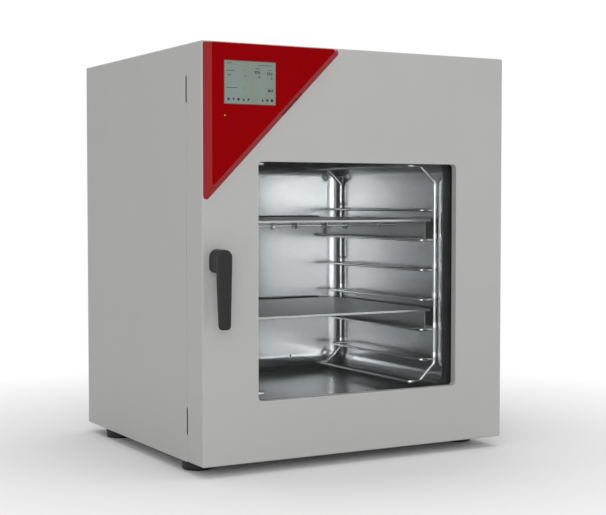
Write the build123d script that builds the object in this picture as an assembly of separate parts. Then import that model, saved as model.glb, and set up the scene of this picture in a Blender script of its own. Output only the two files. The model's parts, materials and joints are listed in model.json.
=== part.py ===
"""Heated bench chamber with a wide glass door, all sizes in millimetres.

+Z is up, the door faces -Y, and Z = 0 is the surface that the feet stand on.
"""

from build123d import *
import os

# Cabinet and door, round the chamber
side_room = 87.5
floor_room = 85.4
roof_room = 172.6
electronics_room = 37.5
door_depth = 57.0
door_joint = 2.0
outer_sheet = 1.5
frame_sheet = 2.0
housing_radius = 3.0
edge_radius = 2.6
front_return = 12.0
rear_return = 16.0
pan_upstand = 18.0

# Working clearances, and how far a cutter runs past the face that it opens
running_gap = 0.05
moving_gap = 0.6
seat_gap = 0.3
cut_past = 1.0

# Feet
foot_height = 18.0
foot_radius = 25.0
foot_chamfer = 3.5
foot_side_inset = 31.0
foot_front_inset = 28.0
foot_rear_inset = 80.0
foot_screw_radius = 4.0
foot_screw_length = 14.0

# Chamber tank
chamber_width = 400.0
chamber_height = 400.0
chamber_depth = 358.0
chamber_corner = 28.0
chamber_wall = 3.0
chamber_flange_width = 24.0
chamber_flange = 3.5

# Gasket and glass
gasket_width = 18.0
gasket_groove_inset = 2.5
gasket_groove_width = 3.5
gasket_groove_depth = 2.0
window_side_margin = 10.0
window_end_margin = 11.0
window_corner = 7.0
window_return = 12.8
window_lip = 6.0
outer_pane = 3.2
outer_pane_margin = 10.0
carrier_sheet = 2.0
carrier_inset = 2.0
safety_glass = 15.0
safety_glass_margin = 10.0
glass_corner = 20.0
glass_edge_gap = 6.0
clip_width = 26.0
clip_overlap = 7.0
clip_sheet = 1.5
clip_foot = 10.0
setting_block_length = 60.0

# Insulation, heaters and service bay
heater_thickness = 3.0
heater_length = 280.0
heater_height = 300.0
heater_corner = 10.0
rear_insulation = 44.0
service_sheet = 1.5
sensor_size = 16.0
sensor_bore = 2.0

# Side racks, measured from the chamber walls
post_radius = 3.0
post_wall_gap = 1.9
rung_radius = 2.5
rung_wall_distance = 30.6
rung_count = 6
rung_pitch = 52.5
first_rung_height = 48.1
rack_front_inset = 14.0
rack_rear_inset = 25.0
rack_foot_wall_distance = 58.6
rack_knee_wall_distance = 35.6
rack_foot_rise = 11.6
rack_fork_rise = 40.6
rack_knee_lift = 1.0

# Shelves
shelf_rungs = (1, 4)
shelf_side_gap = 12.5
shelf_front_inset = 15.0
shelf_rear_gap = 10.0
shelf_thickness = 4.5
shelf_corner = 4.0
shelf_edge_chamfer = 1.0
channel_height = 30.5
channel_sheet = 1.5
channel_flange = 27.0
channel_inset = 8.0
channel_end_inset = 6.0
stop_height = 2.8
stop_thickness = 4.0
stop_end_inset = 34.0
clamp_rod_radius = 2.0
clamp_rod_drop = 7.0
clamp_rod_setback = 103.0
clamp_nut_radius = 6.6
clamp_nut_length = 6.0
clamp_nut_offset = 73.0
clamp_nut_sides = 8
clamp_lug_offset = 30.0
clamp_lug_side_inset = 47.5
clamp_lug_length = 24.0
clamp_lug_sheet = 2.0
clamp_lug_drop = 12.0
clamp_lug_corner = 5.0

# Hinges and the slots in the seam
hinge_slot_length = 46.0
hinge_slot_taper = 3.0
lower_hinge_rise = 65.0
upper_hinge_drop = 71.0
hinge_offset = 5.5
hinge_barrel_radius = 5.0
hinge_pin_radius = 2.5
hinge_leaf_length = 38.0
hinge_anchor_depth = 10.0
slot_end_gap = 0.5
seam_slot_overlap = 1.0

# Lever and latch
lever_inset = 23.0
lever_rise = 41.1
lever_reach = 36.0
lever_width = 24.5
lever_tip_width = 19.0
lever_tail = 110.7
lever_thickness = 11.0
lever_tip_thickness = 8.0
lever_edge = 2.2
lever_boss_drop = 24.0
lever_boss_corner = 8.0
lever_tip_round = 5.9
lever_relief_start = 20.0
spindle_radius = 5.0
bush_radius = 8.0
bush_flange_radius = 11.0
bush_flange = 1.2
tongue_reach = 15.0
tongue_width = 10.0
tongue_thickness = 5.0
tongue_gap = 0.8
keeper_width = 36.0
keeper_height = 44.0
keeper_depth = 10.0
keeper_wall = 1.5

# Control panel on the door
panel_leg = 248.8
panel_inset = 2.0
panel_height = 9.5
panel_bevel = 11.0
panel_top_draft = 0.8
panel_tip_radius = 5.5
panel_corner_radius = 3.0
panel_face_radius = 3.0
panel_wall = 2.2
display_width = 90.3
display_height = 67.5
display_left = 33.3
display_drop = 29.0
display_thickness = 6.0
led_radius = 1.5
led_left = 34.9
led_drop = 113.8
board_margin = 8.0
board_thickness = 1.6
board_standoff = 4.5
board_standoff_radius = 3.0
connector_width = 50.0
connector_height = 16.0
key_slot_length = 50.0
key_slot_height = 3.4
key_slot_offset = 31.3
key_end_gap = 0.4
key_depth = 6.0
key_recess = 1.2
key_round = 1.0

# Rear fittings
rear_reach = 22.0
rear_panel_inset = 4.0
rear_panel_corner = 3.0
rear_screw_radius = 4.2
rear_screw_head = 2.2
rear_screw_rows = 4
louvre_length = 70.0
louvre_width = 4.0
louvre_pitch = 12.0
louvre_count = 9
louvre_drop = 138.0
louvre_spread = 130.0
port_radius = 2.5
pipe_radius = 10.0
pipe_bore = 8.0
pipe_flange_radius = 15.0
pipe_flange = 4.0
pipe_bore_depth = 40.0
pipe_mouth_depth = 10.0
pipe_cone = 1.5
pipe_spread = 94.4
pipe_rise = 25.0
inlet_width = 48.0
inlet_height = 28.0
inlet_bezel = 3.0
inlet_depth = 22.0
inlet_cavity_width = 25.0
inlet_cavity_height = 17.0
inlet_cavity_depth = 15.0
inlet_pin_length = 11.0
inlet_pin_width = 2.0
inlet_pin_height = 4.0
inlet_pin_spacing = 7.0
inlet_pin_offset = 2.0
inlet_corner = 4.0
inlet_side_inset = 90.0
inlet_level = 60.0

# Electronics in the rear bay
power_board_width = 180.0
power_board_height = 120.0
power_board_offset = -120.0
power_board_drop = 148.0
power_standoff = 6.0
power_standoff_radius = 3.0
power_standoff_inset = 6.0
power_blocks = (
    # Sideways and upward from the middle of the board, then width, height and depth
    (-55, 20, 46, 40, 14),
    (5, 30, 30, 24, 12),
    (55, 25, 28, 30, 10),
    (-50, -30, 60, 20, 9),
    (40, -30, 70, 16, 8),
)
filter_width = 60.0
filter_height = 45.0
filter_depth = 20.0
filter_corner = 4.0
filter_rise = 62.5
terminal_height = 16.0
terminal_depth = 16.0
terminal_rise = 108.0
terminal_count = 6
terminal_pitch = 13.2
terminal_entry = 6.0
terminal_entry_depth = 8.0

# Sizes and places that follow from the ones above
cabinet_width = chamber_width + 2 * side_room
cabinet_height = chamber_height + floor_room + roof_room
rear_wall_room = chamber_wall + rear_insulation + service_sheet + electronics_room
body_depth = outer_sheet - chamber_flange + chamber_depth + rear_wall_room
window_width = chamber_width - 2 * window_side_margin
window_height = chamber_height - 2 * window_end_margin
shelf_width = chamber_width - 2 * shelf_side_gap
shelf_depth = chamber_depth - shelf_front_inset - shelf_rear_gap
hinge_reach = hinge_offset + hinge_barrel_radius
mid = -hinge_reach / 2
left = mid - cabinet_width / 2
right = mid + cabinet_width / 2
base = foot_height
roof = base + cabinet_height
total_depth = lever_reach + door_depth + door_joint + body_depth + outer_sheet + rear_reach
door_front = lever_reach - total_depth / 2
door_rear = door_front + door_depth
body_front = door_rear + door_joint
body_rear = body_front + body_depth
rear_face = body_rear + outer_sheet
frame_front = body_front + outer_sheet
frame_rear = frame_front + frame_sheet
inner_left = left + outer_sheet
inner_right = right - outer_sheet
chamber_z = base + floor_room + chamber_height / 2
chamber_mouth = frame_front - chamber_flange
chamber_back = chamber_mouth + chamber_depth
chamber_floor = chamber_z - chamber_height / 2
chamber_roof = chamber_z + chamber_height / 2
chamber_right = mid + chamber_width / 2
bay_front = chamber_back + chamber_wall + rear_insulation
pane_front = door_front + window_return
carrier_front = pane_front + outer_pane
glass_front = carrier_front + carrier_sheet
glass_rear = glass_front + safety_glass
gasket_front = glass_rear + seat_gap
gasket_outer = chamber_width + 2 * gasket_width
gasket_outer_height = chamber_height + 2 * gasket_width
glass_width = gasket_outer + 2 * safety_glass_margin
glass_height = gasket_outer_height + 2 * safety_glass_margin
recess_width = glass_width + 2 * glass_edge_gap
recess_height = glass_height + 2 * glass_edge_gap
recess_corner = glass_corner + glass_edge_gap
hinge_x = right + hinge_offset
hinge_y = body_front - door_joint / 2
hinge_levels = (base + lower_hinge_rise, roof - upper_hinge_drop)
lever_x = left + lever_inset
lever_z = chamber_z + lever_rise
panel_left = left + panel_inset
panel_top = roof - panel_inset
panel_face = door_front - panel_height
pipe_z = chamber_floor + pipe_rise
pipe_seat = chamber_back + chamber_wall / 2
display_x = left + display_left
display_z = roof - display_drop - display_height
led_x = left + led_left
led_z = roof - led_drop
inlet_x = right - inlet_side_inset
inlet_z = base + inlet_level


def front_plane(y):
    """Upright plane at depth y, where local x runs along X and local y along Z."""
    return Plane(origin=(0, y, 0), x_dir=(1, 0, 0), z_dir=(0, -1, 0))


def slab(outline, y_front, thickness):
    """Upright outline with its front at y_front, extruded rearward."""
    return extrude(front_plane(y_front) * outline, amount=-thickness)


def block(x, y, z):
    """Box between the low and high limit of each axis."""
    limits = (x, y, z)
    centre = [(low + high) / 2 for low, high in limits]
    size = [high - low for low, high in limits]
    return Pos(*centre) * Box(*size)


def rounded(width, height, radius):
    """Rounded rectangle about the axis of the chamber."""
    return Pos(mid, chamber_z) * RectangleRounded(width, height, radius)


def disc(x, z, radius):
    """Circle in the upright plane."""
    return Pos(x, z) * Circle(radius)


def rod_y(x, z, radius, y_front, y_rear):
    """Cylinder along Y."""
    return slab(disc(x, z, radius), y_front, y_rear - y_front)


def rod_x(x_low, x_high, y, z, radius):
    """Cylinder along X."""
    plane = Plane(origin=(x_low, y, z), z_dir=(1, 0, 0))
    return extrude(plane * Circle(radius), amount=x_high - x_low)


def rod_z(x, y, z_low, z_high, radius):
    """Cylinder along Z."""
    return extrude(Plane(origin=(x, y, z_low)) * Circle(radius), amount=z_high - z_low)


def turned_y(x, z, y_start, profile):
    """Solid of revolution about the Y line at x, z, from (radius, distance along Y) points."""
    plane = Plane(origin=(x, y_start, z), x_dir=(1, 0, 0), z_dir=(0, 0, 1))
    outline = make_face(Polyline(*profile, close=True))
    return revolve(plane * outline, Axis((x, y_start, z), (0, 1, 0)))


def seam_slots(y_low, y_high, taper_at_rear):
    """Four hinge slots at the seam, two on each side, slanted at their ends in the side walls."""
    slots = []
    half = hinge_slot_length / 2
    for level in hinge_levels:
        z_limits = (level - half, level + half)
        through = block((left - cut_past, inner_left), (y_low, y_high), z_limits)
        edge_group = through.edges().filter_by(Axis.X).group_by(Axis.Y)[-1 if taper_at_rear else 0]
        through = chamfer(edge_group, min(hinge_slot_taper, (y_high - y_low) * 0.8))
        through += block((inner_left, left + front_return + cut_past), (y_low, y_high), z_limits)
        slots += [through, mirror(through, about=Plane.YZ.offset(mid))]
    return slots


def leaf_pockets(y_low, y_high):
    """Room for the four hinge leaves or blanking pieces inside the side walls."""
    pockets = []
    half = hinge_slot_length / 2
    for level in hinge_levels:
        pocket = block(
            (right - hinge_leaf_length - slot_end_gap, right - outer_sheet),
            (y_low, y_high),
            (level - half, level + half),
        )
        pockets += [pocket, mirror(pocket, about=Plane.YZ.offset(mid))]
    return pockets


def housing_wrap():
    """Bent outer sheet: roof, both sides, and the returns round the front and the rear."""
    outer = block((left, right), (body_front, body_rear), (base, roof))
    outer = fillet(outer.edges().filter_by(Axis.Y).group_by(Axis.Z)[-1], housing_radius)
    outer = fillet(outer.faces().sort_by(Axis.Y)[0].edges(), edge_radius)
    inside = block(
        (inner_left, inner_right),
        (frame_front, body_rear - outer_sheet),
        (base - cut_past, roof - outer_sheet),
    )
    mouth = block(
        (left + front_return, right - front_return),
        (body_front - cut_past, body_rear),
        (base + front_return, roof - front_return),
    )
    tail = block(
        (left + rear_return, right - rear_return),
        (body_front + body_depth / 2, body_rear + cut_past),
        (base - cut_past, roof - rear_return),
    )
    slots = seam_slots(body_front - cut_past, frame_front, True)
    return outer - inside - mouth - tail - slots


def foot_spots():
    """Axes of the four feet."""
    return [
        (x, y)
        for x in (left + foot_side_inset, right - foot_side_inset)
        for y in (body_front + foot_front_inset, body_rear - foot_rear_inset)
    ]


def base_pan():
    """Folded tray that closes the underside, with a hole for each foot screw."""
    floor = block(
        (inner_left, inner_right),
        (frame_front, body_rear - outer_sheet),
        (base, base + outer_sheet),
    )
    rear_wall = block(
        (inner_left, inner_right),
        (body_rear - 2 * outer_sheet, body_rear - outer_sheet),
        (base, base + pan_upstand),
    )
    pan = floor + rear_wall
    for x_low in (inner_left, inner_right - outer_sheet):
        wall = block(
            (x_low, x_low + outer_sheet),
            (frame_rear, body_rear - outer_sheet),
            (base, base + pan_upstand),
        )
        pan += wall
    for x, y in foot_spots():
        pan -= rod_z(x, y, base - cut_past, base + outer_sheet + cut_past, foot_screw_radius + running_gap)
    return pan


def front_frame():
    """Flat frame behind the door that carries the tank, the hinges and the latch keeper."""
    x_mid = (inner_left + inner_right) / 2
    z_low = base + outer_sheet
    z_high = roof - outer_sheet
    outline = Pos(x_mid, (z_low + z_high) / 2) * Rectangle(inner_right - inner_left, z_high - z_low)
    outline -= rounded(
        chamber_width + 2 * chamber_wall,
        chamber_height + 2 * chamber_wall,
        chamber_corner + chamber_wall,
    )
    outline -= Pos(lever_x, lever_z) * Rectangle(keeper_width, keeper_height)
    return slab(outline, frame_front, frame_sheet)


def tank_hollow(y_front):
    """Room inside the chamber, with rounded edges all along its depth and round its rear wall."""
    room = block(
        (mid - chamber_width / 2, mid + chamber_width / 2),
        (y_front, chamber_back),
        (chamber_floor, chamber_roof),
    )
    rear_edges = room.faces().sort_by(Axis.Y)[-1].edges()
    return fillet(room.edges().filter_by(Axis.Y) + rear_edges, chamber_corner)


def tank_outside(y_front):
    """Outer form of the tank, with its rear edges bevelled so that no wall is thinner than the sheet."""
    outline = rounded(
        chamber_width + 2 * chamber_wall, chamber_height + 2 * chamber_wall, chamber_corner + chamber_wall
    )
    tank = slab(outline, y_front, chamber_back + chamber_wall - y_front)
    corner_depth = (2**0.5 - 1) * (chamber_corner + chamber_wall)
    return chamfer(tank.faces().sort_by(Axis.Y)[-1].edges(), corner_depth * 2**0.5)


def chamber():
    """Stainless tank with a welded front flange, and a port and a seat for each pipe in its rear wall."""
    outer = tank_outside(frame_front - chamber_flange / 2)
    flange = slab(
        rounded(
            chamber_width + 2 * chamber_flange_width,
            chamber_height + 2 * chamber_flange_width,
            chamber_corner + chamber_flange_width,
        ),
        chamber_mouth,
        chamber_flange,
    )
    tank = outer + flange - tank_hollow(chamber_mouth - cut_past)
    for x in (mid - pipe_spread, mid + pipe_spread):
        tank -= rod_y(x, pipe_z, port_radius, chamber_back - cut_past, bay_front)
        tank -= rod_y(x, pipe_z, pipe_radius, pipe_seat, bay_front)
    return tank


def door_gasket():
    """Thick silicone ring on the chamber flange, which the safety glass closes on."""
    ring = rounded(gasket_outer, gasket_outer_height, chamber_corner + gasket_width)
    ring -= rounded(chamber_width, chamber_height, chamber_corner)
    body = slab(ring, gasket_front, chamber_mouth - gasket_front)
    inner = gasket_groove_inset
    outer = gasket_groove_inset + gasket_groove_width
    groove = rounded(chamber_width + 2 * outer, chamber_height + 2 * outer, chamber_corner + outer)
    groove -= rounded(chamber_width + 2 * inner, chamber_height + 2 * inner, chamber_corner + inner)
    return body - slab(groove, gasket_front, gasket_groove_depth)


def insulation():
    """Mineral wool round the tank, from the front frame to the service bay."""
    around = block(
        (inner_left + outer_sheet, inner_right - outer_sheet),
        (frame_rear, bay_front),
        (base + outer_sheet, roof - outer_sheet),
    )
    room = chamber_wall + heater_thickness
    cavity = rounded(chamber_width + 2 * room, chamber_height + 2 * room, chamber_corner + room)
    around -= slab(cavity, frame_rear - cut_past, chamber_back + chamber_wall + cut_past - frame_rear)
    around -= block(
        (lever_x - keeper_width / 2, lever_x + keeper_width / 2),
        (frame_rear - cut_past, frame_rear + keeper_depth),
        (lever_z - keeper_height / 2, lever_z + keeper_height / 2),
    )
    around -= leaf_pockets(frame_rear - cut_past, frame_rear + hinge_anchor_depth)
    for x in (mid - pipe_spread, mid + pipe_spread):
        around -= rod_y(x, pipe_z, pipe_radius, pipe_seat, bay_front + cut_past)
    screw_top = base + foot_screw_length
    for x, y in foot_spots():
        around -= rod_z(x, y, base, screw_top + running_gap, foot_screw_radius + running_gap)
    sensor_low = chamber_back + chamber_wall
    return around - block(
        (mid - sensor_size / 2, mid + sensor_size / 2),
        (sensor_low - cut_past, sensor_low + sensor_size / 2),
        (chamber_z - sensor_size / 2, chamber_z + sensor_size / 2),
    )


def heater_mats():
    """Heating mats bonded to the left wall, the right wall and the floor of the tank."""
    y_middle = (frame_rear + chamber_back) / 2
    y_limits = (y_middle - heater_length / 2, y_middle + heater_length / 2)
    x_low = chamber_right + chamber_wall
    z_limits = (chamber_z - heater_height / 2, chamber_z + heater_height / 2)
    mat_right = block((x_low, x_low + heater_thickness), y_limits, z_limits)
    mat_right = chamfer(mat_right.edges().filter_by(Axis.X), heater_corner)
    z_high = chamber_floor - chamber_wall
    x_limits = (mid - heater_height / 2, mid + heater_height / 2)
    mat_floor = block(x_limits, y_limits, (z_high - heater_thickness, z_high))
    mat_floor = chamfer(mat_floor.edges().filter_by(Axis.Z), heater_corner)
    return [mat_right, mirror(mat_right, about=Plane.YZ.offset(mid)), mat_floor]


def temperature_sensor():
    """Sensor block clamped on the outside of the tank's rear wall."""
    low = chamber_back + chamber_wall
    body = block(
        (mid - sensor_size / 2, mid + sensor_size / 2),
        (low, low + sensor_size / 2),
        (chamber_z - sensor_size / 2, chamber_z + sensor_size / 2),
    )
    return body - rod_x(mid - sensor_size, mid, low + sensor_size / 4, chamber_z, sensor_bore)


def wire(points, radius):
    """Round wire along straight runs with mitred bends."""
    path = Polyline(*points)
    section = Plane(origin=path @ 0, z_dir=path % 0) * Circle(radius)
    return sweep(section, path=path, transition=Transition.RIGHT)


def rung_level(index):
    return chamber_floor + first_rung_height + index * rung_pitch


def rack_ends():
    """Depth of the front and the rear post of a rack."""
    return frame_rear + rack_front_inset - post_radius, chamber_back - rack_rear_inset + post_radius


def rack_right():
    """Wire frame against the right wall, bent as a lower and an upper half that are welded end to end."""
    post_x = chamber_right - post_wall_gap - post_radius
    knee_x = chamber_right - rack_knee_wall_distance
    foot_x = chamber_right - rack_foot_wall_distance
    y_front, y_rear = rack_ends()
    halves = []
    for end, sign in ((chamber_floor, 1), (chamber_roof, -1)):
        foot_z = end + sign * rack_foot_rise
        fork_z = end + sign * rack_fork_rise
        stretch = [
            (post_x, y_front, chamber_z),
            (post_x, y_front, fork_z),
            (knee_x, y_front, foot_z + sign * rack_knee_lift),
            (foot_x, y_front, foot_z),
            (foot_x, y_rear, foot_z),
            (knee_x, y_rear, foot_z + sign * rack_knee_lift),
            (post_x, y_rear, fork_z),
            (post_x, y_rear, chamber_z),
        ]
        halves.append(wire(stretch, post_radius))
    return halves


def rack_rungs_right():
    """Bent rungs that are welded to the posts of the right frame."""
    y_front, y_rear = rack_ends()
    wires = []
    rung_x = chamber_right - rung_wall_distance
    stub_x = chamber_right - seat_gap
    near = y_front + post_radius + rung_radius
    far = y_rear - post_radius - rung_radius
    for index in range(rung_count):
        z = rung_level(index)
        stretch = [(stub_x, near, z), (rung_x, near, z), (rung_x, far, z), (stub_x, far, z)]
        wires.append(wire(stretch, rung_radius))
    return wires


def shelf_top(index):
    return rung_level(index) + rung_radius + channel_height + shelf_thickness


def shelf_plate(index):
    """Flat aluminium shelf plate."""
    top = shelf_top(index)
    y_low = chamber_mouth + shelf_front_inset
    outline = Pos(mid, y_low + shelf_depth / 2) * RectangleRounded(shelf_width, shelf_depth, shelf_corner)
    plate = extrude(Plane.XY.offset(top - shelf_thickness) * outline, amount=shelf_thickness)
    return chamfer(plate.faces().sort_by(Axis.Z)[-1].edges(), shelf_edge_chamfer)


def shelf_channels(index):
    """Pair of C channels between the shelf plate and its rungs, open towards the middle."""
    bottom = rung_level(index) + rung_radius
    top = bottom + channel_height
    x_high = mid + shelf_width / 2 - channel_inset
    y_low = chamber_mouth + shelf_front_inset + channel_end_inset
    y_high = chamber_mouth + shelf_front_inset + shelf_depth - channel_end_inset
    outer = block((x_high - channel_flange, x_high), (y_low, y_high), (bottom, top))
    inner = block(
        (x_high - channel_flange - cut_past, x_high - channel_sheet),
        (y_low - cut_past, y_high + cut_past),
        (bottom + channel_sheet, top - channel_sheet),
    )
    channel = outer - inner
    return [channel, mirror(channel, about=Plane.YZ.offset(mid))]


def shelf_stop(index):
    """Black strip on the rear edge of the shelf, which stands a little proud of its top."""
    top = shelf_top(index)
    y_edge = chamber_mouth + shelf_front_inset + shelf_depth
    half = shelf_width / 2 - stop_end_inset
    return block(
        (mid - half, mid + half),
        (y_edge, y_edge + stop_thickness),
        (top - shelf_thickness, top + stop_height),
    )


def clamp_axis(index):
    """Depth and level of the clamping rod under a shelf."""
    y = chamber_mouth + shelf_front_inset + clamp_rod_setback
    z = shelf_top(index) - shelf_thickness - clamp_rod_drop
    return y, z


def clamp_rod(index):
    """Rod that spreads the two channels."""
    y, z = clamp_axis(index)
    reach = shelf_width / 2 - channel_inset - channel_sheet
    return rod_x(mid - reach, mid + reach, y, z, clamp_rod_radius)


def clamp_nuts(index):
    """Two eight-sided nuts on the clamping rod."""
    y, z = clamp_axis(index)
    nuts = []
    for offset in (-clamp_nut_offset, clamp_nut_offset):
        x_low = mid + offset - clamp_nut_length / 2
        plane = Plane(origin=(x_low, y, z), z_dir=(1, 0, 0))
        outline = RegularPolygon(clamp_nut_radius, clamp_nut_sides)
        outline -= Circle(clamp_rod_radius + running_gap)
        nuts.append(extrude(plane * outline, amount=clamp_nut_length))
    return nuts


def clamp_lugs(index):
    """Lugs under the shelf plate with a slot from below that holds the clamping rod."""
    y, z = clamp_axis(index)
    top = shelf_top(index) - shelf_thickness
    lugs = []
    for offset in (clamp_lug_offset, shelf_width / 2 - clamp_lug_side_inset):
        x_low = mid + offset - clamp_lug_sheet / 2
        plane = Plane(origin=(x_low, y, top), x_dir=(0, 1, 0), z_dir=(1, 0, 0))
        outline = Pos(0, -clamp_lug_drop / 2) * Rectangle(clamp_lug_length, clamp_lug_drop)
        outline = chamfer(outline.vertices().group_by(Axis.Y)[0], clamp_lug_corner)
        slot_depth = clamp_lug_drop - clamp_rod_drop + clamp_rod_radius + running_gap
        slot = Rectangle(2 * (clamp_rod_radius + running_gap), slot_depth)
        outline -= Pos(0, slot_depth / 2 - clamp_lug_drop) * slot
        lug = extrude(plane * outline, amount=clamp_lug_sheet)
        lugs += [lug, mirror(lug, about=Plane.YZ.offset(mid))]
    return lugs


def hinge_parts():
    """Both hinges: a cabinet leaf, a door leaf and a pin each, with outside knuckles."""
    parts = {}
    pins = []
    for name, level in zip(("lower", "upper"), hinge_levels):
        half = hinge_slot_length / 2 - slot_end_gap
        low, high, split = level - half, level + half, level - seat_gap / 2
        tab_low = right - outer_sheet - seam_slot_overlap
        tab_end = hinge_slot_taper + slot_end_gap
        bore = rod_z(hinge_x, hinge_y, low - cut_past, high + cut_past, hinge_pin_radius + running_gap)
        fixed_y = (hinge_y + seat_gap, frame_front)
        fixed = block((right - hinge_leaf_length, right - outer_sheet - slot_end_gap), fixed_y, (low, high))
        fixed += block((tab_low, hinge_x), fixed_y, (low + tab_end, split))
        fixed += rod_z(hinge_x, hinge_y, low, split, hinge_barrel_radius)
        swing_y = (door_rear - frame_sheet, hinge_y - seat_gap)
        swing = block((right - hinge_leaf_length, right - outer_sheet - slot_end_gap), swing_y, (low, high))
        swing += block((tab_low, hinge_x), swing_y, (split + seat_gap, high - tab_end))
        swing += rod_z(hinge_x, hinge_y, split + seat_gap, high, hinge_barrel_radius)
        pins.append(rod_z(hinge_x, hinge_y, low, high, hinge_pin_radius))
        parts[f"{name}_hinge_cabinet_leaf"] = fixed - bore
        parts[f"{name}_hinge_door_leaf"] = swing - bore
    parts["hinge_pins"] = pins
    return parts


def anchor_blocks(y_low, y_high):
    """Steel blocks behind the hinge leaves."""
    half = hinge_slot_length / 2
    return [
        block(
            (right - hinge_leaf_length, right - outer_sheet - slot_end_gap),
            (y_low, y_high),
            (level - half, level + half),
        )
        for level in hinge_levels
    ]


def slot_blanks(y_low, y_high):
    """Plastic blanks for the unused slots of the other door hand."""
    half = hinge_slot_length / 2 - slot_end_gap
    x_limits = (left + outer_sheet / 2, left + hinge_leaf_length)
    step_x = left + outer_sheet + slot_end_gap
    blanks = []
    for level in hinge_levels:
        z_limits = (level - half, level + half)
        nose_z = (level - half + hinge_slot_taper, level + half - hinge_slot_taper)
        nose = block((x_limits[0], step_x), (y_low, y_high), nose_z)
        blanks.append(block((step_x, x_limits[1]), (y_low, y_high), z_limits) + nose)
    return blanks


def latch_keeper():
    """Slotted keeper plate in the front frame, with a box that covers the tongue's room."""
    plate = Pos(lever_x, lever_z) * Rectangle(keeper_width, keeper_height)
    half = tongue_width / 2 + moving_gap
    slot_high = lever_z + tongue_reach + moving_gap
    slot = Pos(lever_x, (lever_z + slot_high) / 2) * Rectangle(2 * half, slot_high - lever_z)
    slot += disc(lever_x, lever_z, half)
    keeper = slab(plate - slot, frame_front, frame_sheet)
    cover = slab(plate, frame_rear, keeper_depth)
    room = Pos(lever_x, lever_z) * Rectangle(
        keeper_width - 2 * keeper_wall, keeper_height - 2 * keeper_wall
    )
    return keeper + (cover - slab(room, frame_rear, keeper_depth - keeper_wall))


def feet():
    """Four round rubber feet, each with a screw bonded to its top that passes through the base pan."""
    upright = (Align.CENTER, Align.CENTER, Align.MIN)
    foot = Cylinder(foot_radius, foot_height, align=upright)
    foot = chamfer(foot.faces().sort_by(Axis.Z)[0].edges(), foot_chamfer)
    screw = Pos(0, 0, foot_height) * Cylinder(foot_screw_radius, foot_screw_length, align=upright)
    places = [Pos(x, y, 0) for x, y in foot_spots()]
    return {
        "feet": [place * foot for place in places],
        "foot_screws": [place * screw for place in places],
    }


def pipe_holes(y_low, y_high, grow):
    """Cutters for the two pipes."""
    return [
        rod_y(x, pipe_z, pipe_radius + grow, y_low, y_high) for x in (mid - pipe_spread, mid + pipe_spread)
    ]


def service_plate():
    """Sheet between the insulation and the electronics bay."""
    plate = block(
        (inner_left + outer_sheet, inner_right - outer_sheet),
        (bay_front, bay_front + service_sheet),
        (base + outer_sheet, roof - outer_sheet),
    )
    return plate - pipe_holes(bay_front - cut_past, bay_front + service_sheet + cut_past, running_gap)


def rear_panel():
    """Removable rear cover with two rows of louvres and the cut-outs of the rear fittings."""
    outline = Pos(mid, (base + roof) / 2) * RectangleRounded(
        cabinet_width - 2 * rear_panel_inset, cabinet_height - 2 * rear_panel_inset, rear_panel_corner
    )
    for side in (-louvre_spread, louvre_spread):
        for index in range(louvre_count):
            z = roof - louvre_drop + (index - (louvre_count - 1) / 2) * louvre_pitch
            outline -= Pos(mid + side, z) * Rectangle(louvre_length, louvre_width)
    outline -= Pos(inlet_x, inlet_z) * Rectangle(
        inlet_width - 2 * inlet_bezel, inlet_height - 2 * inlet_bezel
    )
    panel = slab(outline, body_rear, outer_sheet)
    return panel - pipe_holes(body_rear - cut_past, rear_face + cut_past, running_gap)


def rear_panel_screws():
    """Hexagon-head screws round the rear cover."""
    screws = []
    edge = (rear_return + rear_panel_inset) / 2
    height = cabinet_height - 2 * edge
    for x in (left + edge, right - edge):
        for row in range(rear_screw_rows):
            z = base + edge + height * row / (rear_screw_rows - 1)
            head = Pos(x, z) * RegularPolygon(rear_screw_radius, 6)
            screws.append(slab(head, rear_face, rear_screw_head))
    return screws


def gas_pipe(x):
    """Pipe from the port in the tank's rear wall to a small flange behind the rear cover."""
    length = rear_face + rear_reach - pipe_seat
    flange_start = length - pipe_flange
    profile = (
        (0, pipe_mouth_depth),
        (port_radius, pipe_mouth_depth),
        (port_radius, 0),
        (pipe_radius, 0),
        (pipe_radius, flange_start - pipe_cone),
        (pipe_flange_radius, flange_start),
        (pipe_flange_radius, length),
        (pipe_bore, length),
        (pipe_bore, length - pipe_bore_depth),
        (0, length - pipe_bore_depth),
    )
    return turned_y(x, pipe_z, pipe_seat, profile)


def mains_inlet():
    """Appliance inlet with a recessed cavity and three contact pins."""
    centre = Pos(inlet_x, inlet_z)
    front = rear_face + inlet_bezel - inlet_depth
    housing = centre * Rectangle(inlet_width - 2 * inlet_bezel, inlet_height - 2 * inlet_bezel)
    bezel = centre * RectangleRounded(inlet_width, inlet_height, inlet_corner)
    cavity = centre * Rectangle(inlet_cavity_width, inlet_cavity_height)
    cavity = chamfer(cavity.vertices().group_by(Axis.Y)[-1], inlet_corner)
    inlet = slab(housing, front, inlet_depth - inlet_bezel) + slab(bezel, rear_face, inlet_bezel)
    cavity_front = rear_face + inlet_bezel - inlet_cavity_depth
    inlet -= slab(cavity, cavity_front, inlet_cavity_depth + cut_past)
    pin = Rectangle(inlet_pin_width, inlet_pin_height)
    for column, row in ((-1, -1), (1, -1), (0, 1)):
        place = Pos(column * inlet_pin_spacing, row * inlet_pin_offset)
        inlet += slab(centre * place * pin, cavity_front, inlet_pin_length)
    return inlet


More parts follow.
